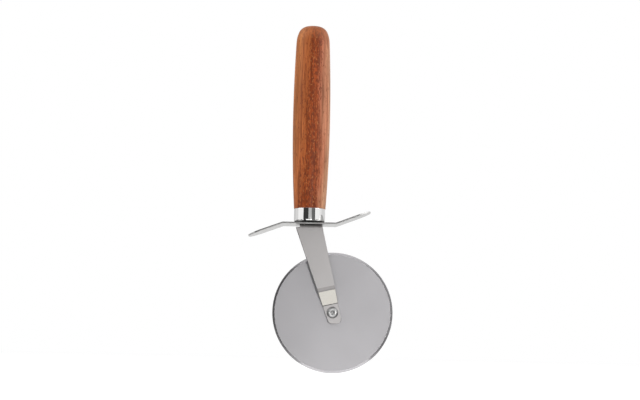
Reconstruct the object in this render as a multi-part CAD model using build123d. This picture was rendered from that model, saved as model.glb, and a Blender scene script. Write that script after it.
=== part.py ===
from build123d import *
import os
from math import cos, radians, sin

# Pizza cutter: a turned wooden handle, a bright ferrule, a finger guard bent from strip,
# and a fork bent from sheet that carries the cutting wheel on a riveted axle.
# Millimetres. +Z runs up the handle to its butt, +X to the right, and the front looks along -Y.
# The origin is on the handle's axis at the middle of the grip, where the handle is thickest.

# Handle, turned from one piece of wood, with a tenon that fills the ferrule
grip_radius = 11.75
neck_radius = 9.9
neck_depth = 57.2
shoulder_radius = 10.6
shoulder_drop = 10.1
butt_height = 59.6
butt_corner_radius = 7.0
butt_round = 6.0
neck_chamfer = 0.3
tenon_clearance = 0.05
screw_bore_spare = 1.5

# Ferrule, a deep-drawn cup with a hole in its floor
ferrule_radius = 9.75
ferrule_height = 9.05
ferrule_wall = 0.6
ferrule_edge_round = 2.0
ferrule_rim_chamfer = 0.15

# Finger guard, a strip with well-rounded ends, its left arm bent down and its right arm bent up
guard_width = 21.0
guard_thickness = 1.0
guard_corner_radius = 8.8
guard_bend_offset = 16.6
guard_arm_length = 23.0
guard_bend_radius = 2.2
guard_edge_chamfer = 0.15
guard_left_drop_angle = 20.3
guard_right_rise_angle = 20.9

# Fork, a U of sheet whose two tapered legs slant to the right and are joggled in at the axle,
# with a wide upper bend and a tight lower one
fork_sheet = 1.0
fork_depth = 12.0
crown_bend_radius = 1.0
crown_left_reach = 5.9
relief_depth = 1.7
leg_top_half_width = 8.4
leg_tip_half_width = 4.75
pivot_offset = 15.5
pivot_drop = 54.5
tip_drop = 6.95
tip_corner_radius = 3.0
joggle_drop = 40.6
joggle_length = 9.3
joggle_tilt_angle = 13.0
joggle_upper_bend_radius = 4.0
joggle_lower_bend_radius = 1.2
fork_edge_chamfer = 0.12
tip_gap = 2.4
crown_leg_share = 0.5
slanted_leg_share = 0.25

# Screw up through the fork, the guard and the ferrule into the handle, with its washer
screw_radius = 2.0
screw_length = 46.0
screw_point_length = 4.0
screw_head_radius = 3.4
screw_head_height = 2.2
screw_head_chamfer = 1.0
screw_slot_width = 0.9
screw_slot_depth = 1.1
screw_hole_clearance = 0.15
screw_bore_clearance = 0.05
washer_thickness = 0.8
washer_clearance = 0.1

# Cutting wheel, ground to an edge from both faces
wheel_radius = 37.5
wheel_thickness = 1.0
wheel_bevel_width = 1.4
wheel_edge_land = 0.16

# Axle: a semi-tubular rivet through a bush, with a spacer on each side of the wheel
rivet_radius = 1.9
rivet_head_radius = 3.6
rivet_head_height = 1.35
rivet_edge_height = 0.3
rivet_crest_radius = 1.9
rivet_dimple_radius = 1.4
rivet_dimple_depth = 0.7
rivet_clearance = 0.05
bush_wall = 1.0
running_clearance = 0.06
side_clearance = 0.1
spacer_width = 1.1

# Levels along the handle's axis, from the top down
ferrule_rim_z = -neck_depth
guard_top_z = ferrule_rim_z - ferrule_height
fork_top_z = guard_top_z - guard_thickness
crown_under_z = fork_top_z - fork_sheet
pivot_z = fork_top_z - pivot_drop

# Sizes that follow from the ones above
leg_outer_y = fork_depth / 2
tip_inner_y = tip_gap / 2
tip_outer_y = tip_inner_y + fork_sheet
bush_radius = rivet_radius + rivet_clearance + bush_wall
wheel_bore_radius = bush_radius + running_clearance
spacer_thickness = tip_inner_y - wheel_thickness / 2 - side_clearance
washer_radius = leg_outer_y - fork_sheet - crown_bend_radius - washer_clearance
washer_under_z = crown_under_z - washer_thickness
overrun = fork_depth


def leg_centre_x(drop):
    """Where the fork leg's centre line lies, at a given drop below the fork's top."""
    slope = pivot_offset / (pivot_drop - relief_depth)
    return (drop - relief_depth) * slope


def bent_sheet(plane, points, radii, thickness, side):
    """Edge-on face of a bent sheet: the line of one face, and its thickness to one side."""
    with BuildSketch(plane) as sketch:
        with BuildLine():
            FilletPolyline(*points, radius=radii)
            offset(amount=thickness, side=side)
        make_face()
    return sketch.sketch


def corner(sketch, across, up):
    """The corner of a sketch that lies nearest to a point of its plane."""
    return sketch.vertices().sort_by_distance((across, up, 0))[0]


def on_axle(shape):
    """Turns a shape about Z, with its front up, onto the wheel's axle."""
    return Pos(pivot_offset, 0, pivot_z) * Rot(X=90) * shape


def tube(outer_radius, inner_radius, length):
    """Plain ring about Z, centred on the origin."""
    return Cylinder(outer_radius, length) - Cylinder(inner_radius, length)


def make_handle():
    tenon_radius = ferrule_radius - ferrule_wall - tenon_clearance
    tenon_end_z = guard_top_z + ferrule_wall + tenon_clearance
    shoulder_z = butt_height - shoulder_drop
    with BuildSketch(Plane.XZ) as half:
        with BuildLine():
            barrel = TangentArc((grip_radius, 0), (shoulder_radius, shoulder_z), tangent=(0, 1))
            TangentArc(barrel @ 1, (butt_corner_radius, butt_height), tangent=barrel % 1)
            Line((butt_corner_radius, butt_height), (0, butt_height))
            TangentArc((grip_radius, 0), (neck_radius, ferrule_rim_z), tangent=(0, -1))
            Polyline(
                (neck_radius, ferrule_rim_z),
                (tenon_radius, ferrule_rim_z),
                (tenon_radius, tenon_end_z),
                (0, tenon_end_z),
                (0, butt_height),
            )
        make_face()
        fillet(corner(half, butt_corner_radius, butt_height), butt_round)
        chamfer(corner(half, neck_radius, ferrule_rim_z), neck_chamfer)
        chamfer(corner(half, tenon_radius, tenon_end_z), ferrule_edge_round)
    body = revolve(half.sketch, Axis.Z)
    bore_radius = screw_radius + screw_bore_clearance
    bore_end_z = washer_under_z + screw_length + screw_bore_spare
    bore_length = bore_end_z - tenon_end_z
    bore = Pos(0, 0, tenon_end_z + bore_length / 2) * Cylinder(bore_radius, bore_length)
    return body - bore


def make_ferrule():
    inner_radius = ferrule_radius - ferrule_wall
    floor_z = guard_top_z + ferrule_wall
    hole_radius = screw_radius + screw_hole_clearance
    with BuildSketch(Plane.XZ) as half:
        with BuildLine():
            Polyline(
                (hole_radius, guard_top_z),
                (ferrule_radius, guard_top_z),
                (ferrule_radius, ferrule_rim_z),
                (inner_radius, ferrule_rim_z),
                (inner_radius, floor_z),
                (hole_radius, floor_z),
                close=True,
            )
        make_face()
        fillet(corner(half, ferrule_radius, guard_top_z), ferrule_edge_round)
        chamfer(corner(half, inner_radius, floor_z), ferrule_edge_round - ferrule_wall)
        chamfer(corner(half, ferrule_radius, ferrule_rim_z), ferrule_rim_chamfer)
    return revolve(half.sketch, Axis.Z)


def make_finger_guard():
    left, right = radians(guard_left_drop_angle), radians(guard_right_rise_angle)
    middle_z = guard_top_z - guard_thickness / 2
    left_end = (
        -guard_bend_offset - guard_arm_length * cos(left),
        guard_top_z - guard_arm_length * sin(left),
    )
    right_end = (
        guard_bend_offset + guard_arm_length * cos(right),
        guard_top_z + guard_arm_length * sin(right),
    )
    top_line = [
        left_end,
        (-guard_bend_offset, guard_top_z),
        (guard_bend_offset, guard_top_z),
        right_end,
    ]
    radii = [guard_bend_radius + guard_thickness, guard_bend_radius]
    strip = bent_sheet(Plane.XZ, top_line, radii, guard_thickness, Side.RIGHT)
    guard = extrude(strip, amount=guard_width / 2, both=True)
    end_corners = guard.edges().filter_by(lambda edge: abs(edge.center().X) > guard_bend_offset)
    end_corners = end_corners.filter_by(lambda edge: abs(edge.length - guard_thickness) < guard_thickness / 2)
    guard = fillet(end_corners.filter_by(GeomType.LINE), guard_corner_radius)
    hole = Cylinder(screw_radius + screw_hole_clearance, guard_thickness + overrun)
    guard -= Pos(0, 0, middle_z) * hole
    return chamfer(guard.edges(), guard_edge_chamfer)


def make_fork():
    # the crown is bent round lines along X, so its profile is drawn in the YZ plane
    crown_end_z = fork_top_z - joggle_drop * crown_leg_share
    crown_line = [
        (-leg_outer_y, crown_end_z),
        (-leg_outer_y, fork_top_z),
        (leg_outer_y, fork_top_z),
        (leg_outer_y, crown_end_z),
    ]
    crown_round = crown_bend_radius + fork_sheet
    crown_face = bent_sheet(Plane.YZ, crown_line, [crown_round] * 2, fork_sheet, Side.RIGHT)
    reach = leg_top_half_width + pivot_offset + overrun
    fork = extrude(crown_face, amount=reach, both=True)

    # the joggle is bent round slanted lines, so each leg's profile is drawn square to them
    tilt = radians(joggle_tilt_angle)
    leg_plane = Plane(
        origin=(leg_centre_x(joggle_drop), 0, fork_top_z - joggle_drop),
        x_dir=(0, 1, 0),
        z_dir=(cos(tilt), 0, sin(tilt)),
    )
    leg_line = [
        (-leg_outer_y, joggle_drop - joggle_drop * slanted_leg_share),
        (-leg_outer_y, 0),
        (-tip_outer_y, -joggle_length),
        (-tip_outer_y, -joggle_length - pivot_drop),
    ]
    leg_radii = [joggle_upper_bend_radius + fork_sheet, joggle_lower_bend_radius]
    leg_face = bent_sheet(leg_plane, leg_line, leg_radii, fork_sheet, Side.LEFT)
    leg = extrude(leg_face, amount=reach, both=True)
    fork = fork + leg + mirror(leg, about=Plane.XZ)

    # the blank's outline, seen from the front, gives both legs their slant and taper
    shoulder_z = fork_top_z - relief_depth
    tip_z = pivot_z - tip_drop
    leg_height = pivot_drop - relief_depth
    left_slope = (pivot_offset - leg_tip_half_width + leg_top_half_width) / leg_height
    right_slope = (pivot_offset + leg_tip_half_width - leg_top_half_width) / leg_height
    left_tip_x = pivot_offset - leg_tip_half_width + tip_drop * left_slope
    right_tip_x = pivot_offset + leg_tip_half_width + tip_drop * right_slope
    right_top_x = leg_top_half_width - (relief_depth + overrun) * right_slope
    with BuildSketch(Plane.XZ) as blank:
        with BuildLine():
            Polyline(
                (-crown_left_reach, fork_top_z + overrun),
                (-crown_left_reach, shoulder_z),
                (-leg_top_half_width, shoulder_z),
                (left_tip_x, tip_z),
                (right_tip_x, tip_z),
                (right_top_x, fork_top_z + overrun),
                close=True,
            )
        make_face()
        fillet(corner(blank, left_tip_x, tip_z), tip_corner_radius)
        fillet(corner(blank, right_tip_x, tip_z), tip_corner_radius)
    fork = fork & extrude(blank.sketch, amount=fork_depth, both=True)

    screw_hole = Cylinder(screw_radius + screw_hole_clearance, fork_sheet + overrun)
    fork -= Pos(0, 0, fork_top_z) * screw_hole
    fork -= on_axle(Cylinder(rivet_radius + rivet_clearance, fork_depth + overrun))
    return chamfer(fork.edges(), fork_edge_chamfer)


def make_tang_screw():
    head_top_z = washer_under_z
    head_under_z = head_top_z - screw_head_height
    head = Pos(0, 0, (head_top_z + head_under_z) / 2) * Cylinder(screw_head_radius, screw_head_height)
    head = chamfer(head.edges().group_by(Axis.Z)[0], screw_head_chamfer)
    slot_long = Box(screw_head_radius, screw_slot_width, screw_slot_depth)
    slot_z = head_under_z + screw_slot_depth / 2
    head -= Pos(0, 0, slot_z) * slot_long
    head -= Pos(0, 0, slot_z) * Rot(Z=90) * slot_long
    shank_length = screw_length - screw_point_length
    shank = Pos(0, 0, head_top_z + shank_length / 2) * Cylinder(screw_radius, shank_length)
    point = Cone(screw_radius, 0, screw_point_length)
    point_z = head_top_z + shank_length + screw_point_length / 2
    return head + shank + Pos(0, 0, point_z) * point


def make_screw_washer():
    ring = tube(washer_radius, screw_radius + screw_hole_clearance, washer_thickness)
    return Pos(0, 0, crown_under_z - washer_thickness / 2) * ring


def make_blade_wheel():
    half_land = wheel_edge_land / 2
    half_thick = wheel_thickness / 2
    bevel_start = wheel_radius - wheel_bevel_width
    with BuildSketch(Plane.XZ) as half:
        with BuildLine():
            Polyline(
                (wheel_bore_radius, -half_thick),
                (bevel_start, -half_thick),
                (wheel_radius, -half_land),
                (wheel_radius, half_land),
                (bevel_start, half_thick),
                (wheel_bore_radius, half_thick),
                close=True,
            )
        make_face()
    return on_axle(revolve(half.sketch, Axis.Z))


def make_axle_rivet():
    # the front end is rolled over into a ring round a dimple, and the back is a plain domed head
    front_z = tip_outer_y + rivet_head_height
    dimple_z = front_z - rivet_dimple_depth
    front_edge_z = tip_outer_y + rivet_edge_height
    with BuildSketch(Plane.XZ) as half:
        with BuildLine():
            TangentArc((0, dimple_z), (rivet_dimple_radius, front_z), tangent=(1, 0))
            Line((rivet_dimple_radius, front_z), (rivet_crest_radius, front_z))
            TangentArc((rivet_crest_radius, front_z), (rivet_head_radius, front_edge_z), tangent=(1, 0))
            Polyline(
                (rivet_head_radius, front_edge_z),
                (rivet_head_radius, tip_outer_y),
                (rivet_radius, tip_outer_y),
                (rivet_radius, -tip_outer_y),
                (rivet_head_radius, -tip_outer_y),
                (rivet_head_radius, -front_edge_z),
            )
            TangentArc((0, -front_z), (rivet_head_radius, -front_edge_z), tangent=(1, 0))
            Line((0, -front_z), (0, dimple_z))
        make_face()
    return on_axle(revolve(half.sketch, Axis.Z))


def make_hub_bush():
    return on_axle(tube(bush_radius, rivet_radius + rivet_clearance, tip_gap))


def make_spacer(front):
    inner_radius = bush_radius + rivet_clearance
    ring = tube(inner_radius + spacer_width, inner_radius, spacer_thickness)
    centre = tip_inner_y - spacer_thickness / 2
    return on_axle(Pos(0, 0, centre if front else -centre) * ring)


nodes = {
    "handle": make_handle(),
    "ferrule": make_ferrule(),
    "finger_guard": make_finger_guard(),
    "fork": make_fork(),
    "tang_screw": make_tang_screw(),
    "screw_washer": make_screw_washer(),
    "blade_wheel": make_blade_wheel(),
    "axle_rivet": make_axle_rivet(),
    "hub_bush": make_hub_bush(),
    "front_spacer": make_spacer(front=True),
    "rear_spacer": make_spacer(front=False),
}

os.makedirs("parts", exist_ok=True)
for name, shape in nodes.items():
    export_step(shape, f"parts/{name}.step")
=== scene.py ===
from math import atan2, cos, pi, radians, sin, sqrt, tan

import bmesh
import bpy
from mathutils import Matrix, Quaternion, Vector


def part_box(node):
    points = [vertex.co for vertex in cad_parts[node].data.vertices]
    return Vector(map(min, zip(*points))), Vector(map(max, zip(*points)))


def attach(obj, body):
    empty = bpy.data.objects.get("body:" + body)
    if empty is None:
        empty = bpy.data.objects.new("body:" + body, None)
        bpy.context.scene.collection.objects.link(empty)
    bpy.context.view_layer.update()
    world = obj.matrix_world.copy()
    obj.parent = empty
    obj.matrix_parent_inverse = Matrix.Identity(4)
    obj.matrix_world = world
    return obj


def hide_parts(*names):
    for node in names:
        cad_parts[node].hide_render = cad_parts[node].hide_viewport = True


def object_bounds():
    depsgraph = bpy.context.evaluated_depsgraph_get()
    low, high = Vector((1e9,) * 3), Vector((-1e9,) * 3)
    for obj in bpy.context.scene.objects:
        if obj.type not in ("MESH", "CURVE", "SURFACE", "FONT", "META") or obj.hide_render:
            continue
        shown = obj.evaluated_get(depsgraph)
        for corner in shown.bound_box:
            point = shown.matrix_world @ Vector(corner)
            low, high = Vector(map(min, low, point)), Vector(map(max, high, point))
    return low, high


# Pizza cutter, dressed around its CAD frame. Metres; the front looks along -Y and +Z is up.
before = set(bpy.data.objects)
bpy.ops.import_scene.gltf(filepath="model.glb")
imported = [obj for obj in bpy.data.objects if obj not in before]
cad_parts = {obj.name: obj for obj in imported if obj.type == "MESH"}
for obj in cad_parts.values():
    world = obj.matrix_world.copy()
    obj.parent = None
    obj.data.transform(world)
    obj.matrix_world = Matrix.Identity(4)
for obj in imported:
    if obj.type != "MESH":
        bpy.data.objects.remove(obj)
cad_low, cad_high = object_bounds()
mm = 0.001

# Handle: one piece of reddish-brown hardwood, turned on a lathe to a slim barrel with a
# rounded butt, then sanded and oiled. Its tenon fills the ferrule, and a screw from below
# draws the two together.
handle_low, handle_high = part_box("handle")
ferrule_low, ferrule_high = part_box("ferrule")
grip_radius = handle_high.x
neck_radius = 9.9 * mm
shoulder_radius = 10.6 * mm
shoulder_drop = 10.1 * mm
butt_corner_radius = 7.0 * mm
butt_round = 6.0 * mm
neck_break = 0.3 * mm
tenon_radius = 9.1 * mm
tenon_chamfer = 2.0 * mm
barrel_steps = 12
shoulder_steps = 6
butt_steps = 10
lathe_steps = 96
weld_distance = 0.001 * mm
# partly the wood's own tones, partly painted shade in the middle and a painted sheen on the right
layer_shade_and_sheen_colours = [
    # share of the way across the handle from left to right, colour
    (0.02, (0.400, 0.132, 0.036, 1)),
    (0.24, (0.335, 0.093, 0.026, 1)),
    (0.44, (0.245, 0.048, 0.011, 1)),
    (0.62, (0.240, 0.046, 0.011, 1)),
    (0.72, (0.310, 0.088, 0.041, 1)),
    (0.98, (0.425, 0.215, 0.122, 1)),
]
layer_lean = radians(2.6)
layer_waver = 0.30
fibre_tints = [(0.34, (0.72, 0.68, 0.64, 1)), (0.66, (1.28, 1.31, 1.32, 1))]
band_tints = [(0.38, (0.76, 0.71, 0.66, 1)), (0.62, (1.22, 1.26, 1.28, 1))]
pore_colour = (0.115, 0.026, 0.010, 1)
pore_crowding = 0.11
fleck_colour = (0.440, 0.180, 0.065, 1)
butt_tint_colour = (0.440, 0.180, 0.085, 1)
butt_tint_share = 0.5


def tangent_arc(start, heading, end, count):
    """Points of the arc that leaves start along heading and reaches end, and its last heading."""
    start, heading = Vector(start), Vector(heading)
    chord = Vector(end) - start
    half_turn = atan2(heading.cross(chord), heading.dot(chord))
    points = []
    for step in range(1, count + 1):
        part = half_turn * step / count
        reach = chord.length * sin(part) / sin(half_turn)
        points.append(start + Matrix.Rotation(part, 2) @ heading * reach)
    return points, Matrix.Rotation(2 * half_turn, 2) @ heading


def whole(bm):
    """All of a mesh's parts, for an operator."""
    return bm.verts[:] + bm.edges[:] + bm.faces[:]


def round_corners(bm, corners, offset, segments=8):
    """Rounds corners in their plane. offset is how much of each side the round takes."""
    bmesh.ops.bevel(
        bm,
        geom=corners,
        affect="VERTICES",
        offset=offset,
        segments=segments,
        profile=0.5,
        material=-1,
    )


def turned(outline, rounds, steps):
    """Spins an outline of (radius, height) points round Z.

    rounds gives the radius of each rounded corner, by the corner's place in the outline.
    """
    bm = bmesh.new()
    points = [bm.verts.new((radius, 0, height)) for radius, height in outline]
    for low, high in zip(points, points[1:]):
        bm.edges.new((low, high))
    off_axis = outline[0][0] > 0
    if off_axis:
        bm.edges.new((points[-1], points[0]))
    for index, radius in rounds.items():
        corner = points[index]
        arms = [(edge.other_vert(corner).co - corner.co).normalized() for edge in corner.link_edges]
        turn = pi - arms[0].angle(arms[1])
        round_corners(bm, [corner], radius * tan(turn / 2))
    bmesh.ops.spin(
        bm,
        geom=whole(bm),
        cent=(0, 0, 0),
        axis=(0, 0, 1),
        angle=2 * pi,
        steps=steps,
        use_merge=True,
    )
    bmesh.ops.remove_doubles(bm, verts=bm.verts[:], dist=weld_distance)
    bmesh.ops.recalc_face_normals(bm, faces=bm.faces[:])
    return bm


def finished(bm, name, material, flat_area=None):
    """Makes the piece's object. Faces larger than flat_area stay flat, and the rest are smooth."""
    for face in bm.faces:
        face.smooth = flat_area is None or face.calc_area() < flat_area
    mesh = bpy.data.meshes.new(name)
    bm.to_mesh(mesh)
    bm.free()
    mesh.materials.append(material)
    piece = bpy.data.objects.new(name, mesh)
    bpy.context.scene.collection.objects.link(piece)
    return piece


def new_material(name):
    """A material, its node tree and its shader."""
    material = bpy.data.materials.new(name)
    material.use_nodes = True
    tree = material.node_tree
    return material, tree, tree.nodes["Principled BSDF"]


def feed(tree, socket, value):
    """Links another node's output to a socket, or sets the socket's own value."""
    if isinstance(value, bpy.types.NodeSocket):
        tree.links.new(value, socket)
    else:
        socket.default_value = value


def add_node(tree, kind, inputs=None, **settings):
    """Adds a shader node with the given settings, and feeds the inputs that are named."""
    node = tree.nodes.new(kind)
    for name, value in settings.items():
        setattr(node, name, value)
    for name, value in (inputs or {}).items():
        feed(tree, node.inputs[name], value)
    return node


def computed(tree, operation, *values):
    """Result of a Math node."""
    node = add_node(tree, "ShaderNodeMath", dict(enumerate(values)), operation=operation)
    return node.outputs[0]


def remapped(tree, value, old=(0, 1), new=(0, 1), clamp=True):
    """Carries a value from the old range to the new one."""
    return add_node(
        tree,
        "ShaderNodeMapRange",
        {
            "Value": value,
            "From Min": old[0],
            "From Max": old[1],
            "To Min": new[0],
            "To Max": new[1],
        },
        clamp=clamp,
    ).outputs["Result"]


def scaled(tree, place, scale):
    """A place with each of its coordinates multiplied."""
    return add_node(tree, "ShaderNodeMapping", {"Vector": place, "Scale": scale}).outputs[0]


def streaks(tree, place, across, along, detail=3.0, distortion=0.0):
    """Noise drawn out along the handle, as many features per metre across it and along it."""
    drawn_out = scaled(tree, place, (across, across, along))
    return add_node(
        tree,
        "ShaderNodeTexNoise",
        {"Vector": drawn_out, "Scale": 1.0, "Detail": detail, "Distortion": distortion},
    ).outputs["Fac"]


def graded(tree, factor, stops):
    """Colour ramp with (position, colour) stops."""
    node = add_node(tree, "ShaderNodeValToRGB", {"Fac": factor})
    ramp = node.color_ramp
    while len(ramp.elements) < len(stops):
        ramp.elements.new(1.0)
    for element, (position, colour) in zip(ramp.elements, stops):
        element.position = position
        element.color = colour
    return node.outputs["Color"]


def greys(*stops):
    """Colour ramp stops for (position, grey) pairs."""
    return [(position, (grey, grey, grey, 1)) for position, grey in stops]


def blended(tree, blend, amount, first, second):
    """Mixes two colours in the named way."""
    node = add_node(tree, "ShaderNodeMix", data_type="RGBA", blend_type=blend)
    factor_socket, first_socket, second_socket = node.inputs[0], node.inputs[6], node.inputs[7]
    feed(tree, factor_socket, amount)
    feed(tree, first_socket, first)
    feed(tree, second_socket, second)
    return node.outputs[2]


def raise_relief(tree, shader, height, strength, distance):
    """Gives a shader the relief of a height."""
    bump = add_node(
        tree, "ShaderNodeBump", {"Height": height, "Strength": strength, "Distance": distance}
    )
    feed(tree, shader.inputs["Normal"], bump.outputs["Normal"])


def oiled_hardwood():
    """Wood in growth layers, with fine fibres, dark pores and golden flecks, under thin oil.
    Its colour across the handle carries painted shade in the middle and a painted sheen on the
    right.
    """
    material, tree, shader = new_material("oiled_hardwood")
    place = add_node(tree, "ShaderNodeTexCoord").outputs["Object"]

    # the growth layers stand nearly square to X and lean a little with the height. Across the
    # handle their colours carry painted shade in the middle and a painted sheen on the right
    leaned = add_node(
        tree,
        "ShaderNodeMapping",
        {"Vector": place, "Rotation": (0, layer_lean, 0)},
        vector_type="TEXTURE",
    ).outputs[0]
    sideways = add_node(tree, "ShaderNodeSeparateXYZ", {"Vector": leaned}).outputs["X"]
    waver = streaks(tree, place, across=110, along=14, detail=4.0, distortion=0.8)
    shift = remapped(tree, waver, new=(-layer_waver, layer_waver))
    share = remapped(tree, sideways, old=(-grip_radius, grip_radius), clamp=False)
    layer = computed(tree, "ADD", share, shift)
    body = graded(tree, layer, layer_shade_and_sheen_colours)

    fibres = streaks(tree, place, across=1500, along=45, detail=4.0, distortion=0.3)
    bands = streaks(tree, place, across=480, along=26, distortion=0.6)
    with_bands = blended(tree, "MULTIPLY", 1.0, body, graded(tree, bands, band_tints))
    with_fibres = blended(tree, "MULTIPLY", 1.0, with_bands, graded(tree, fibres, fibre_tints))

    # pores and golden flecks crowd the dark layers in the middle, which painted shade darkens
    middle = graded(tree, layer, greys((0.22, 0), (0.42, 1), (0.66, 1), (0.80, 0)))
    flecks = streaks(tree, place, across=1500, along=700, detail=2.0)
    fleck_mask = graded(tree, flecks, greys((0.56, 0), (0.66, 0.55)))
    fleck_share = blended(tree, "MULTIPLY", 1.0, fleck_mask, middle)
    with_flecks = blended(tree, "MIX", fleck_share, with_fibres, fleck_colour)
    pores = streaks(tree, place, across=1300, along=420)
    crowded_pores = computed(tree, "MULTIPLY_ADD", middle, pore_crowding, pores)
    pore_mask = graded(tree, crowded_pores, greys((0.60, 0), (0.68, 0.75)))
    with_pores = blended(tree, "MIX", pore_mask, with_flecks, pore_colour)

    # the colour grows paler towards the top of the butt
    height = add_node(tree, "ShaderNodeSeparateXYZ", {"Vector": place}).outputs["Z"]
    butt_span = (handle_high.z - shoulder_drop, handle_high.z)
    butt_tint = remapped(tree, height, old=butt_span, new=(0, butt_tint_share))
    colour = blended(tree, "MIX", butt_tint, with_pores, butt_tint_colour)
    feed(tree, shader.inputs["Base Color"], colour)

    feed(tree, shader.inputs["Roughness"], remapped(tree, fibres, new=(0.40, 0.55)))
    relief = blended(tree, "SUBTRACT", 1.0, fibres, pore_mask)
    raise_relief(tree, shader, relief, strength=0.25, distance=0.05 * mm)
    shader.inputs["Specular IOR Level"].default_value = 0.10
    shader.inputs["Coat Weight"].default_value = 0.05
    shader.inputs["Coat Roughness"].default_value = 0.28
    return material


butt_z = handle_high.z
rim_z = ferrule_high.z
grip = (grip_radius, 0)
lower, _ = tangent_arc(grip, (0, -1), (neck_radius, rim_z), barrel_steps)
upper, upper_heading = tangent_arc(
    grip, (0, 1), (shoulder_radius, butt_z - shoulder_drop), barrel_steps
)

# the shoulder's arc is cut short where the round of the butt is tangent to it
shoulder = upper[-1]
shoulder_chord = Vector((butt_corner_radius, butt_z)) - shoulder
inward = Vector((-upper_heading.y, upper_heading.x))
shoulder_arc_radius = shoulder_chord.length_squared / (2 * shoulder_chord.dot(inward))
shoulder_centre = shoulder + inward * shoulder_arc_radius
round_z = butt_z - butt_round
round_reach = shoulder_arc_radius - butt_round
round_x = shoulder_centre.x + sqrt(round_reach**2 - (round_z - shoulder_centre.y) ** 2)
outward = (Vector((round_x, round_z)) - shoulder_centre).normalized()
round_start = shoulder_centre + outward * shoulder_arc_radius
shoulder_line, shoulder_heading = tangent_arc(
    shoulder, upper_heading, round_start, shoulder_steps
)
round_line, _ = tangent_arc(round_start, shoulder_heading, (round_x, butt_z), butt_steps)
handle_outline = [
    (0, handle_low.z),
    (tenon_radius - tenon_chamfer, handle_low.z),
    (tenon_radius, handle_low.z + tenon_chamfer),
    (tenon_radius, rim_z),
    *reversed(lower),
    grip,
    *upper,
    *shoulder_line,
    *round_line,
    (0, butt_z),
]
neck_corner = 4  # its place in the outline
handle_mesh = turned(handle_outline, {neck_corner: neck_break}, lathe_steps)
handle = finished(handle_mesh, "turned_handle", oiled_hardwood())
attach(handle, "handle_frame")
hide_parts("handle")

# Ferrule: a cup deep-drawn from thin sheet and bright plated. It binds the end of the wood,
# and its floor sits on the finger guard with the screw through it.
ferrule_wall = 0.6 * mm
ferrule_round = 2.0 * mm
ferrule_rim_break = 0.15 * mm
ferrule_steps = 128
screw_hole_radius = 2.15 * mm
grain_depth = 0.02 * mm


def metal_finish_group():
    """Node group for rolled, ground or plated metal: fine grain over soft handling marks."""
    group = bpy.data.node_groups.new("metal_finish", "ShaderNodeTree")
    for name, kind, default in (
        ("Grain Place", "NodeSocketVector", (0, 0, 0)),
        ("Object Place", "NodeSocketVector", (0, 0, 0)),
        ("Metal Colour", "NodeSocketColor", (0.5, 0.5, 0.5, 1)),
        ("Grain Contrast", "NodeSocketFloat", 0.1),
        ("Roughness", "NodeSocketFloat", 0.3),
        ("Roughness Spread", "NodeSocketFloat", 0.1),
        ("Mark Size", "NodeSocketFloat", 60.0),
        ("Mark Contrast", "NodeSocketFloat", 0.06),
    ):
        socket = group.interface.new_socket(name, in_out="INPUT", socket_type=kind)
        socket.default_value = default
    for name, kind in (
        ("Colour", "NodeSocketColor"),
        ("Roughness", "NodeSocketFloat"),
        ("Height", "NodeSocketFloat"),
    ):
        group.interface.new_socket(name, in_out="OUTPUT", socket_type=kind)
    given = group.nodes.new("NodeGroupInput").outputs
    grain = add_node(
        group, "ShaderNodeTexNoise", {"Vector": given["Grain Place"], "Scale": 1.0, "Detail": 3.0}
    ).outputs["Fac"]
    marks = add_node(
        group,
        "ShaderNodeTexNoise",
        {
            "Vector": given["Object Place"],
            "Scale": given["Mark Size"],
            "Detail": 4.0,
            "Distortion": 0.6,
        },
    ).outputs["Fac"]

    def swing(value, amount):
        """A factor about 1 that follows the noise by the given amount."""
        centred = computed(group, "SUBTRACT", value, 0.5)
        return computed(group, "MULTIPLY_ADD", centred, amount, 1.0)

    def joint_swing(grain_amount, mark_amount):
        """The grain's and the marks' factors together."""
        return computed(group, "MULTIPLY", swing(grain, grain_amount), swing(marks, mark_amount))

    shade = joint_swing(given["Grain Contrast"], given["Mark Contrast"])
    colour = add_node(
        group, "ShaderNodeVectorMath", {0: given["Metal Colour"], "Scale": shade}, operation="SCALE"
    ).outputs[0]
    rough_swing = joint_swing(given["Roughness Spread"], given["Roughness Spread"])
    result = group.nodes.new("NodeGroupOutput").inputs
    feed(group, result["Colour"], colour)
    feed(group, result["Roughness"], computed(group, "MULTIPLY", rough_swing, given["Roughness"]))
    feed(group, result["Height"], grain)
    return group


metal_finish = metal_finish_group()


def metal(
    name,
    colour,
    grain,
    contrast,
    spread,
    marks,
    bump,
    roughness=None,
    centre=(0, 0, 0),
    turn=(0, 0, 0),
    zones=(),
):
    """Metal material. grain counts the grain's features per metre along the piece's own axes.

    In place of one roughness, zones gives a shade and a roughness at some distances from an axle
    along Y through centre.
    """
    material, tree, shader = new_material(name)
    place = add_node(tree, "ShaderNodeTexCoord").outputs["Object"]
    turned_place = add_node(
        tree,
        "ShaderNodeMapping",
        {"Vector": place, "Location": centre, "Rotation": turn},
        vector_type="TEXTURE",
    ).outputs[0]
    if zones:
        flat_place = scaled(tree, turned_place, (1, 0, 1))
        from_axle = add_node(tree, "ShaderNodeVectorMath", {0: flat_place}, operation="LENGTH")
        reach = zones[-1][0]
        share = computed(tree, "DIVIDE", from_axle.outputs["Value"], reach)
        shades = greys(*((distance / reach, shade) for distance, shade, _ in zones))
        roughs = greys(*((distance / reach, rough) for distance, _, rough in zones))
        colour = blended(tree, "MULTIPLY", 1.0, colour, graded(tree, share, shades))
        roughness = graded(tree, share, roughs)
    finish = add_node(
        tree,
        "ShaderNodeGroup",
        {
            "Grain Place": scaled(tree, turned_place, grain),
            "Object Place": place,
            "Metal Colour": colour,
            "Grain Contrast": contrast,
            "Roughness": roughness,
            "Roughness Spread": spread,
            "Mark Contrast": marks,
        },
        node_tree=metal_finish,
    ).outputs
    feed(tree, shader.inputs["Base Color"], finish["Colour"])
    feed(tree, shader.inputs["Roughness"], finish["Roughness"])
    raise_relief(tree, shader, finish["Height"], strength=bump, distance=grain_depth)
    shader.inputs["Metallic"].default_value = 1.0
    return material


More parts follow.
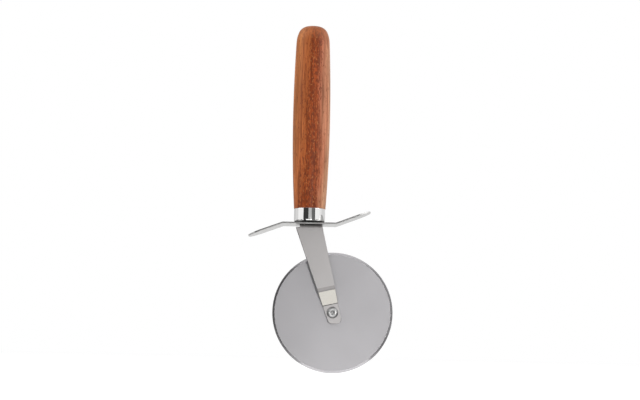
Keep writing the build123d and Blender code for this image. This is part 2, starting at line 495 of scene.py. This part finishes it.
ferrule_radius = ferrule_high.x
floor_z = ferrule_low.z + ferrule_wall
ferrule_outline = [
    (screw_hole_radius, ferrule_low.z),
    (ferrule_radius, ferrule_low.z),
    (ferrule_radius, ferrule_high.z),
    (ferrule_radius - ferrule_wall, ferrule_high.z),
    (ferrule_radius - ferrule_wall, floor_z),
    (screw_hole_radius, floor_z),
]
ferrule_rounds = {1: ferrule_round, 2: ferrule_rim_break, 4: ferrule_round - ferrule_wall}
bright_plate = metal(
    "bright_plate",
    colour=(0.86, 0.855, 0.85, 1),
    grain=(600, 600, 3000),
    contrast=0.03,
    roughness=0.045,
    spread=0.4,
    marks=0.03,
    bump=0.02,
)

# painted shade darkens the round at the ferrule's foot above the guard
plate_tree = bright_plate.node_tree
plate_colour = plate_tree.nodes["Principled BSDF"].inputs["Base Color"]
plate_place = add_node(plate_tree, "ShaderNodeTexCoord").outputs["Object"]
plate_height = add_node(plate_tree, "ShaderNodeSeparateXYZ", {"Vector": plate_place}).outputs["Z"]
foot_span = (ferrule_low.z, ferrule_low.z + ferrule_round)
foot_share = remapped(plate_tree, plate_height, old=foot_span)
foot_shade = graded(plate_tree, foot_share, greys((0.0, 0.03), (0.58, 0.05), (0.72, 1)))
unshaded_colour = plate_colour.links[0].from_socket
feed(plate_tree, plate_colour, blended(plate_tree, "MULTIPLY", 1.0, unshaded_colour, foot_shade))

ferrule_mesh = turned(ferrule_outline, ferrule_rounds, ferrule_steps)
ferrule = finished(ferrule_mesh, "ferrule_cup", bright_plate)
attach(ferrule, "handle_frame")
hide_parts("ferrule")

# Finger guard: a stainless strip blanked with well-rounded ends, tumbled smooth and bent, the
# left arm down and the right arm up, and clamped between the ferrule and the fork. Painted
# shade darkens its edge along the sides, and a painted highlight pales its dull edge round the
# two ends.
guard_low, guard_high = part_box("finger_guard")
guard_width = guard_high.y - guard_low.y
guard_top_z = ferrule_low.z
guard_thickness = 1.0 * mm
guard_corner_radius = 8.8 * mm
guard_corner_steps = 16
guard_bend_offset = 16.6 * mm
guard_bend_rows = 6
guard_arm_length = 23.0 * mm
guard_inner_bend = 2.2 * mm
guard_edge_round = 0.25 * mm
left_highlight_end = 4.4 * mm
right_highlight_end = 6.8 * mm
left_drop_angle = radians(20.3)
right_rise_angle = radians(20.9)
guard_bends = {
    -1: (guard_inner_bend + guard_thickness, -left_drop_angle),
    1: (guard_inner_bend, right_rise_angle),
}


def guard_arm(side):
    """Where an arm's bend starts and ends along the flat strip, and where the arm ends."""
    bend_radius, angle = guard_bends[side]
    setback = bend_radius * tan(abs(angle) / 2)
    start = guard_bend_offset - setback
    end = start + bend_radius * abs(angle)
    return start, end, end + guard_arm_length - setback


def bent_guard_point(point):
    """Carries a point of the flat strip to its place on the bent one."""
    side = 1 if point.x > 0 else -1
    bend_radius, angle = guard_bends[side]
    start, end, _ = guard_arm(side)
    length = abs(point.x)
    if length <= start:
        return Vector((point.x, point.y, point.z))
    rise = 1 if angle > 0 else -1
    turned_by = min(length - start, end - start) / bend_radius
    across = start + bend_radius * sin(turned_by)
    up = rise * bend_radius * (1 - cos(turned_by))
    beyond = max(length - end, 0)
    across += beyond * cos(turned_by) - rise * (point.z - guard_top_z) * sin(turned_by)
    up += rise * beyond * sin(turned_by) + (point.z - guard_top_z) * cos(turned_by)
    return Vector((side * across, point.y, guard_top_z + up))


def points_of(result):
    """The points in an operator's result."""
    return [item for item in result["geom"] if isinstance(item, bmesh.types.BMVert)]


def cut(bm, place, normal, clear_outer=False):
    """Cuts a mesh along the plane through place, and may clear what lies beyond it."""
    bmesh.ops.bisect_plane(
        bm, geom=whole(bm), plane_co=place, plane_no=normal, clear_outer=clear_outer
    )


def round_edges(bm, radius, least_angle):
    """Rounds every edge whose faces meet at more than least_angle."""
    sharp = [edge for edge in bm.edges if edge.is_manifold and edge.calc_face_angle() > least_angle]
    bmesh.ops.bevel(
        bm,
        geom=sharp,
        affect="EDGES",
        offset=radius,
        segments=3,
        profile=0.5,
        material=-1,
        clamp_overlap=True,
    )


def bent_strip():
    """Blanks the strip, rounds its edges and bends its two arms."""
    bm = bmesh.new()
    left_end, right_end = guard_arm(-1)[2], guard_arm(1)[2]
    half_width = guard_width / 2
    corners = [(-left_end, -1), (right_end, -1), (right_end, 1), (-left_end, 1)]
    ring = [bm.verts.new((x, side * half_width, guard_top_z)) for x, side in corners]
    bm.faces.new(ring)
    round_corners(bm, ring, guard_corner_radius, guard_corner_steps)
    bmesh.ops.recalc_face_normals(bm, faces=bm.faces[:])
    if bm.faces[0].normal.z > 0:
        bmesh.ops.reverse_faces(bm, faces=bm.faces[:])
    lowered = bmesh.ops.extrude_face_region(bm, geom=bm.faces[:])
    bmesh.ops.translate(bm, verts=points_of(lowered), vec=(0, 0, -guard_thickness))
    bmesh.ops.recalc_face_normals(bm, faces=bm.faces[:])
    round_edges(bm, guard_edge_round, least_angle=radians(60))
    for side in (-1, 1):
        start, end, _ = guard_arm(side)
        for row in range(guard_bend_rows + 1):
            line = side * (start + (end - start) * row / guard_bend_rows)
            cut(bm, (line, 0, 0), (1, 0, 0))
    for point in bm.verts:
        point.co = bent_guard_point(point.co)
    return bm


tumbled_steel = metal(
    "tumbled_steel",
    colour=(0.41, 0.408, 0.40, 1),
    grain=(300, 1500, 1500),
    contrast=0.06,
    roughness=0.34,
    spread=0.25,
    marks=0.08,
    bump=0.05,
)
# painted shade for the edge along the arms
shaded_edge_steel = metal(
    "shaded_edge_steel",
    colour=(0.20, 0.198, 0.195, 1),
    grain=(1500, 1500, 1500),
    contrast=0.2,
    roughness=0.45,
    spread=0.3,
    marks=0.1,
    bump=0.08,
)
# painted highlight for the dull edge round the ends
highlight_end_steel = metal(
    "highlight_end_steel",
    colour=(0.60, 0.597, 0.59, 1),
    grain=(1500, 1500, 1500),
    contrast=0.1,
    roughness=0.60,
    spread=0.2,
    marks=0.1,
    bump=0.06,
)
guard = finished(bent_strip(), "guard_strip", tumbled_steel, flat_area=4 * mm * mm)
guard.data.materials.append(shaded_edge_steel)
guard.data.materials.append(highlight_end_steel)
shaded_edge_index, highlight_end_index = 1, 2

# a face is part of the edge if its normal leans far enough from the sheet's. Both arms slope
# up to the right, so one direction serves as the normal of both. Edge faces along the sides,
# bar those looking down, get painted shade, and the edge round the ends a painted highlight.
least_lean = 0.2
most_square = 0.9
arm_up = Vector((-sin(right_rise_angle), 0, cos(right_rise_angle)))
for face in guard.data.polygons:
    off_ends = guard_low.x + left_highlight_end < face.center.x < guard_high.x - right_highlight_end
    if off_ends and abs(face.normal.y) > least_lean and face.normal.z > -least_lean:
        face.material_index = shaded_edge_index
    elif not off_ends and abs(face.normal.dot(arm_up)) < most_square:
        face.material_index = highlight_end_index
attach(guard, "handle_frame")
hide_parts("finger_guard")

# Fork: one stainless blank folded into a U, its tapered legs slanting to the right and
# stepped in to the axle by a slanted joggle. A notch relieves the fold on the left.
fork_low, fork_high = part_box("fork")
wheel_low, wheel_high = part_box("blade_wheel")
axle = (wheel_low + wheel_high) / 2
fork_top_z = fork_high.z
fork_sheet = 1.0 * mm
fold_radius = 2.0 * mm
crown_left_reach = 5.9 * mm
relief_depth = 1.7 * mm
leg_top_half_width = 8.4 * mm
leg_tip_half_width = 4.75 * mm
tip_corner_radius = 3.0 * mm
joggle_drop = 40.6 * mm
joggle_length = 9.3 * mm
joggle_tilt = radians(13.0)
joggle_outer_bend = 5.0 * mm
joggle_outer_rows = 8
joggle_inner_bend = 1.2 * mm
joggle_inner_rows = 3
shade_band_reach = 0.8 * mm
tip_outer_y = 2.2 * mm
fork_edge_round = 0.15 * mm
least_edge = 0.13 * mm
blank_left = 30 * mm
blank_width = 90 * mm
blank_spare = 10 * mm

leg_outer_y = fork_high.y
shoulder_z = fork_top_z - relief_depth
leg_height = fork_top_z - axle.z - relief_depth
leg_slope = axle.x / leg_height
up_leg = Vector((-sin(joggle_tilt), 0, cos(joggle_tilt)))
joggle_start = Vector(((joggle_drop - relief_depth) * leg_slope, 0, fork_top_z - joggle_drop))
step_in = leg_outer_y - tip_outer_y
joggle_slant = atan2(step_in, joggle_length)
outer_setback = joggle_outer_bend * tan(joggle_slant / 2)
inner_setback = joggle_inner_bend * tan(joggle_slant / 2)
shade_band_start = outer_setback + shade_band_reach


def joggle_inset(along):
    """How far in the leg's outer face has stepped, at a distance down the leg from the joggle."""
    first = along + outer_setback
    last = along - joggle_length - inner_setback
    if first <= 0:
        return 0
    if last >= 0:
        return step_in
    first_arc = joggle_outer_bend * sin(joggle_slant)
    last_arc = joggle_inner_bend * sin(joggle_slant)
    if first < first_arc:
        return joggle_outer_bend - sqrt(joggle_outer_bend**2 - first**2)
    if -last < last_arc:
        return step_in - joggle_inner_bend + sqrt(joggle_inner_bend**2 - last**2)
    return along * tan(joggle_slant)


def folded_fork():
    """Folds and steps a wide sheet, cuts the blank's outline through both legs and thickens it."""
    bm = bmesh.new()
    below_z = fork_low.z - blank_spare
    section = [(-1, below_z), (-1, fork_top_z), (1, fork_top_z), (1, below_z)]
    points = [bm.verts.new((-blank_left, side * leg_outer_y, z)) for side, z in section]
    for first, second in zip(points, points[1:]):
        bm.edges.new((first, second))
    round_corners(bm, points[1:3], fold_radius)
    drawn = bmesh.ops.extrude_edge_only(bm, edges=bm.edges[:])
    bmesh.ops.translate(bm, verts=points_of(drawn), vec=(blank_width, 0, 0))

    # rows across the joggle's two bends, square to the slanted leg, and one above them where the
    # upper bend's band of painted shade starts
    cut(bm, joggle_start + up_leg * shade_band_start, up_leg)
    for centre, setback, rows in (
        (0, outer_setback, joggle_outer_rows),
        (joggle_length, inner_setback, joggle_inner_rows),
    ):
        for row in range(rows + 1):
            along = centre - setback + 2 * setback * row / rows
            cut(bm, joggle_start - up_leg * along, up_leg)
    for point in bm.verts:
        inset = joggle_inset((joggle_start - point.co).dot(up_leg))
        point.co.y += -inset if point.co.y > 0 else inset

    # the blank's outline, with the notch beside the fold
    left_slope = (axle.x - leg_tip_half_width + leg_top_half_width) / leg_height
    right_slope = (axle.x + leg_tip_half_width - leg_top_half_width) / leg_height
    for place, beyond in (
        ((-leg_top_half_width, 0, shoulder_z), (-1, 0, -left_slope)),
        ((leg_top_half_width, 0, shoulder_z), (1, 0, right_slope)),
        ((0, 0, fork_low.z), (0, 0, -1)),
    ):
        cut(bm, place, beyond, clear_outer=True)
    cut(bm, (0, 0, shoulder_z), (0, 0, 1))
    cut(bm, (-crown_left_reach, 0, 0), (1, 0, 0))
    notch = []
    for face in bm.faces:
        middle = face.calc_center_median()
        if middle.z > shoulder_z and middle.x < -crown_left_reach:
            notch.append(face)
    bmesh.ops.delete(bm, geom=notch, context="FACES")
    for side, slope in ((-1, -left_slope), (1, right_slope)):
        tips = [point for point in bm.verts if abs(point.co.z - fork_low.z) < weld_distance]
        edge_x = side * max(side * point.co.x for point in tips)
        corners = [point for point in tips if abs(point.co.x - edge_x) < weld_distance]
        turn = pi / 2 + atan2(slope, 1)
        round_corners(bm, corners, tip_corner_radius * tan(turn / 2))
    bmesh.ops.remove_doubles(bm, verts=bm.verts[:], dist=least_edge)
    bmesh.ops.recalc_face_normals(bm, faces=bm.faces[:])
    top = max(bm.faces, key=lambda face: face.calc_center_median().z)
    if top.normal.z < 0:
        bmesh.ops.reverse_faces(bm, faces=bm.faces[:])
    bmesh.ops.solidify(bm, geom=bm.faces[:], thickness=fork_sheet)
    bmesh.ops.recalc_face_normals(bm, faces=bm.faces[:])
    round_edges(bm, fork_edge_round, least_angle=radians(50))
    return bm


rolled_steel = metal(
    "rolled_steel",
    colour=(0.352, 0.339, 0.336, 1),
    grain=(1800, 1800, 150),
    contrast=0.05,
    roughness=0.46,
    spread=0.15,
    marks=0.05,
    bump=0.06,
    turn=(0, joggle_tilt, 0),
)
# painted highlight: a lighter, smoother copy of the rolled steel for the joggle's slope
burnished_highlight_steel = metal(
    "burnished_highlight_steel",
    colour=(0.530, 0.512, 0.470, 1),
    grain=(1800, 1800, 300),
    contrast=0.04,
    roughness=0.20,
    spread=0.2,
    marks=0.05,
    bump=0.04,
    turn=(0, joggle_tilt, 0),
)
# painted shade for the joggle's upper bend
bent_shade_steel = metal(
    "bent_shade_steel",
    colour=(0.242, 0.232, 0.229, 1),
    grain=(1800, 1800, 150),
    contrast=0.08,
    roughness=0.42,
    spread=0.2,
    marks=0.06,
    bump=0.06,
    turn=(0, joggle_tilt, 0),
)
# painted shade for the joggle's lower bend and the sheared edge on the leg's left and round its tip
dark_shade_steel = metal(
    "dark_shade_steel",
    colour=(0.09, 0.088, 0.086, 1),
    grain=(2500, 2500, 2500),
    contrast=0.3,
    roughness=0.45,
    spread=0.3,
    marks=0.1,
    bump=0.1,
)
fork = finished(folded_fork(), "folded_fork", rolled_steel, flat_area=2 * mm * mm)
fork.data.materials.append(burnished_highlight_steel)
fork.data.materials.append(bent_shade_steel)
fork.data.materials.append(dark_shade_steel)
burnished_highlight_index, bent_shade_index, dark_shade_index = 1, 2, 3

# the die left the joggle's slope burnished, and a painted highlight lightens its colour. Painted
# shade darkens its upper bend, and darker painted shade its lower one. Painted shade also
# darkens the sheared edge on the leg's left side and round its tip.
face_on = 0.9
flat_on = 0.99
edge_on = 0.1
slope_share = 0.9
left_of_leg = Vector((-cos(joggle_tilt), 0, -sin(joggle_tilt)))
for face in fork.data.polygons:
    down_leg = -face.normal.dot(up_leg)
    along = (joggle_start - face.center).dot(up_leg)
    outwards = face.normal.y * (1 if face.center.y > 0 else -1)
    on_joggle = -shade_band_start < along < joggle_length + inner_setback
    if outwards > face_on and on_joggle:
        if down_leg > sin(joggle_slant * slope_share):
            face.material_index = burnished_highlight_index
        else:
            face.material_index = bent_shade_index if along < joggle_length / 2 else dark_shade_index
    elif edge_on < outwards < flat_on and face.center.z < shoulder_z:
        if face.normal.dot(left_of_leg) > edge_on or face.center.z < axle.z:
            face.material_index = dark_shade_index
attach(fork, "handle_frame")
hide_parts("fork")

# Cutting wheel: a disc blanked from hard stainless sheet, with satin faces, and ground from
# both sides to an edge. It turns on the axle's bush.
wheel_radius = wheel_high.x - axle.x
wheel_half_thickness = wheel_high.y
wheel_bevel_width = 1.4 * mm
wheel_half_land = 0.08 * mm
wheel_bore_radius = 3.01 * mm
wheel_steps = 192
bevel_start = wheel_radius - wheel_bevel_width


def on_axle(bm):
    """Turns a piece that stands along Z, so that its top looks to the front, onto the axle."""
    bmesh.ops.rotate(bm, verts=bm.verts[:], cent=(0, 0, 0), matrix=Matrix.Rotation(pi / 2, 3, "X"))
    bmesh.ops.translate(bm, verts=bm.verts[:], vec=axle)
    return bm


wheel_outline = [
    (wheel_bore_radius, -wheel_half_thickness),
    (bevel_start, -wheel_half_thickness),
    (wheel_radius, -wheel_half_land),
    (wheel_radius, wheel_half_land),
    (bevel_start, wheel_half_thickness),
    (wheel_bore_radius, wheel_half_thickness),
]
satin_steel = metal(
    "satin_steel",
    colour=(0.352, 0.344, 0.354, 1),
    grain=(900, 900, 900),
    contrast=0.03,
    spread=0.15,
    marks=0.04,
    bump=0.03,
    centre=axle,
    zones=[
        # the satin face, and the finely ground bevel, lighter with a painted highlight
        (bevel_start, 1.0, 0.50),
        (bevel_start + 0.05 * mm, 1.5, 0.24),
        (wheel_radius, 1.5, 0.24),
    ],
)
wheel_mesh = on_axle(turned(wheel_outline, {}, wheel_steps))
wheel = finished(wheel_mesh, "cutting_wheel", satin_steel, flat_area=20 * mm * mm)
wheel.data.set_sharp_from_angle(angle=radians(10))
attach(wheel, "wheel")
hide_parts("blade_wheel")

# Axle rivet: a bright semi-tubular rivet, its front end rolled over into a ring round a
# dimple and its factory head a low dome at the back.
rivet_low, rivet_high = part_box("axle_rivet")
rivet_head_radius = rivet_high.x - axle.x
rivet_radius = 1.9 * mm
rivet_front = -rivet_low.y
rivet_edge_height = 0.3 * mm
rivet_steps = 64
crest_radius = 1.9 * mm
dimple_radius = 1.4 * mm
dimple_depth = 0.7 * mm


def dome(start, end, count):
    """Points of an arc that is level at start and reaches end, both (radius, height)."""
    return [start] + tangent_arc(start, (1, 0), end, count)[0]


front_edge = tip_outer_y + rivet_edge_height
rivet_outline = [
    *dome((0, rivet_front - dimple_depth), (dimple_radius, rivet_front), count=8),
    *dome((crest_radius, rivet_front), (rivet_head_radius, front_edge), count=10),
    (rivet_head_radius, tip_outer_y),
    (rivet_radius, tip_outer_y),
    (rivet_radius, -tip_outer_y),
    (rivet_head_radius, -tip_outer_y),
    *reversed(dome((0, -rivet_front), (rivet_head_radius, -front_edge), count=12)),
]
bright_steel = metal(
    "bright_steel",
    colour=(0.72, 0.715, 0.71, 1),
    grain=(1200, 1200, 1200),
    contrast=0.05,
    spread=0.2,
    marks=0.06,
    bump=0.04,
    centre=axle,
    zones=[
        # the dimple with painted shade, the rolled crest with a painted highlight and the skirt
        # round it with painted shade
        (0.4 * mm, 0.40, 0.40),
        (1.3 * mm, 0.38, 0.38),
        (1.6 * mm, 0.58, 0.34),
        (2.3 * mm, 0.58, 0.34),
        (2.9 * mm, 0.34, 0.48),
        (rivet_head_radius, 0.28, 0.52),
    ],
)
rivet_mesh = on_axle(turned(rivet_outline, {}, rivet_steps))
rivet = finished(rivet_mesh, "axle_rivet_dressed", bright_steel)
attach(rivet, "handle_frame")
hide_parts("axle_rivet")

# Hidden hardware: the screw up into the handle, its washer, and the bush and spacers on the
# axle. They are plain zinc-plated steel, show only from the side, and keep their CAD shapes.
plated_steel = metal(
    "plated_steel",
    colour=(0.52, 0.53, 0.54, 1),
    grain=(1400, 1400, 1400),
    contrast=0.1,
    roughness=0.28,
    spread=0.4,
    marks=0.12,
    bump=0.08,
)
for node_name in ("tang_screw", "screw_washer", "hub_bush", "front_spacer", "rear_spacer"):
    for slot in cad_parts[node_name].material_slots:
        slot.material = plated_steel

# Floor: a plain pale table under the wheel's edge, seen almost edge-on. It renders white and
# keeps the object's shadow.
floor_gap = 0.05 * mm
table_z = cad_low.z - floor_gap
floor_half_size = 4.0
floor_grey = 0.86
floor_mottle = 1.02
floor_lift = 0.50


def seen_directly(tree):
    """1 for camera, glossy and transmission rays, and 0 for the rest."""
    path = add_node(tree, "ShaderNodeLightPath").outputs
    seen_or_mirrored = computed(tree, "MAXIMUM", path["Is Camera Ray"], path["Is Glossy Ray"])
    return computed(tree, "MAXIMUM", seen_or_mirrored, path["Is Transmission Ray"])


def table_top():
    """Faintly mottled pale paint, lifted to white where it is seen or mirrored."""
    material, tree, shader = new_material("table_top")
    place = add_node(tree, "ShaderNodeTexCoord").outputs["Object"]
    mottle = add_node(tree, "ShaderNodeTexNoise", {"Vector": place, "Scale": 40.0, "Detail": 2.0})
    tints = greys((0.3, floor_grey), (0.7, floor_grey * floor_mottle))
    tint = graded(tree, mottle.outputs["Fac"], tints)
    lift = computed(tree, "MULTIPLY", seen_directly(tree), floor_lift)
    feed(tree, shader.inputs["Base Color"], tint)
    feed(tree, shader.inputs["Emission Color"], tint)
    feed(tree, shader.inputs["Emission Strength"], lift)
    shader.inputs["Roughness"].default_value = 0.9
    shader.inputs["Specular IOR Level"].default_value = 0.0
    return material


floor_mesh = bmesh.new()
bmesh.ops.create_grid(floor_mesh, x_segments=1, y_segments=1, size=floor_half_size)
bmesh.ops.translate(floor_mesh, verts=floor_mesh.verts[:], vec=(0, 0, table_z))
floor = finished(floor_mesh, "floor", table_top())

# Studio: an even pale room, a compact key lamp to the right of the camera and two broad side
# lamps. Dark and grey cards stand and lie round the object, out of the camera's sight, and
# only bare metal and varnish mirror them.
room_strength = 0.64
lying = 0.0002
front_line = ((0.42, lying), (1.3, lying), (1.3, 0.80))
left_line = ((0.035, lying), (1.3, lying), (1.3, 0.86))
right_line = ((0.16, lying), (1.3, lying), (1.3, 0.80))
open_line = ((1.3, lying), (1.3, 0.80))
side_line = ((0.035, lying), (1.3, lying))
far_side_line = ((0.075, lying), (1.3, lying))
near_side_line = ((0.050, lying), (0.075, lying))
foot_line = ((0.012, lying), (0.035, lying))
back_line = ((1.3, lying), (1.3, 1.0))
cards = (
    # name, from azimuth, to azimuth, (distance, height over the floor) along the card, grey
    ("front_strip", -7.5, 15.5, ((1.25, 0.04), (1.25, 0.40)), 0.55),
    ("front_card", -3.0, 17.0, front_line, 0.05),
    ("left_front_card", -26.0, -3.0, open_line, 0.045),
    ("left_card", -46.0, -26.0, left_line, 0.045),
    ("left_floor_card", -115.0, -53.0, side_line, 0.12),
    ("left_foot_card", -100.0, -30.0, foot_line, 0.60),
    ("right_front_card", 17.0, 31.0, right_line, 0.16),
    ("right_card", 31.0, 42.0, right_line, 0.12),
    ("right_floor_card", 44.0, 85.0, far_side_line, 0.20),
    ("right_foot_card", 44.0, 85.0, near_side_line, 0.50),
    ("far_left_card", -128.0, -92.0, back_line, 0.76),
    ("back_left_card", -178.0, -128.0, back_line, 0.62),
    ("far_right_card", 80.0, 100.0, back_line, 0.90),
    ("back_right_card", 100.0, 176.0, back_line, 0.74),
)
card_steps = 12
lamps = (
    # name, azimuth, elevation, distance, size, power
    ("key_lamp", 13.0, 1.5, 1.1, 0.05, 2.4),
    ("left_lamp", -76.0, 36.0, 0.9, 0.6, 2.2),
    ("right_lamp", 66.0, 34.0, 0.9, 0.6, 3.4),
)


def direction(azimuth, elevation):
    """Unit vector to a place round the object. Azimuth 0 is the front, and 90 is the right."""
    around, up = radians(azimuth), radians(elevation)
    return Vector((sin(around) * cos(up), -cos(around) * cos(up), sin(up)))


def plain_light(name, grey):
    """Material that only shows a grey, lit or not."""
    material, _, shader = new_material(name)
    shader.inputs["Base Color"].default_value = (0, 0, 0, 1)
    shader.inputs["Roughness"].default_value = 1.0
    shader.inputs["Specular IOR Level"].default_value = 0.0
    shader.inputs["Emission Color"].default_value = (grey, grey, grey, 1)
    shader.inputs["Emission Strength"].default_value = 1.0
    return material


def sweep_card(name, start, end, line, grey):
    """Sweeps a card's line round the object from one azimuth to another."""
    bm = bmesh.new()
    points = []
    for distance, height in line:
        place = direction(start, 0) * distance
        place.z = table_z + height
        points.append(bm.verts.new(place))
    for pair in zip(points, points[1:]):
        bm.edges.new(pair)
    bmesh.ops.spin(
        bm,
        geom=whole(bm),
        cent=(0, 0, 0),
        axis=(0, 0, 1),
        angle=radians(end - start),
        steps=card_steps,
        use_merge=False,
    )
    card = finished(bm, name, plain_light(name, grey))
    card.visible_camera = False
    card.visible_diffuse = False
    card.visible_shadow = False


for card in cards:
    sweep_card(*card)

for name, azimuth, elevation, distance, size, power in lamps:
    light = bpy.data.lights.new(name, "AREA")
    light.shape = "DISK"
    light.size = size
    light.energy = power
    lamp = bpy.data.objects.new(name, light)
    towards = direction(azimuth, elevation)
    lamp.location = Vector((0, 0, axle.z)) + towards * distance
    lamp.rotation_mode = "QUATERNION"
    lamp.rotation_quaternion = (-towards).to_track_quat("-Z", "Y")
    lamp.visible_camera = False
    bpy.context.scene.collection.objects.link(lamp)

room = bpy.data.worlds.new("room")
room.use_nodes = True
bpy.context.scene.world = room
background = room.node_tree.nodes["Background"]
strength = remapped(room.node_tree, seen_directly(room.node_tree), new=(room_strength, 1))
background.inputs["Color"].default_value = (1, 1, 1, 1)
feed(room.node_tree, background.inputs["Strength"], strength)

# Camera: 85 cm in front of the object, low and looking slightly up, rolled a little so that
# the handle leans to the right as it does in the picture.
camera_place = Vector((6.37, -844.54, -147.43)) * mm
camera_pitch = radians(6.5)
camera_roll = radians(1.15)
focal_length = 75.97
sensor_width = 36.0
nearest_seen = 10 * mm

camera_data = bpy.data.cameras.new("camera")
camera_data.lens = focal_length
camera_data.sensor_width = sensor_width
camera_data.clip_start = nearest_seen
camera = bpy.data.objects.new("camera", camera_data)
camera.location = camera_place
camera.rotation_mode = "QUATERNION"
aim = Vector((0, cos(camera_pitch), sin(camera_pitch)))
camera.rotation_quaternion = aim.to_track_quat("-Z", "Y") @ Quaternion((0, 0, 1), camera_roll)
bpy.context.scene.collection.objects.link(camera)
bpy.context.scene.camera = camera
bpy.context.scene.view_settings.view_transform = "Standard"
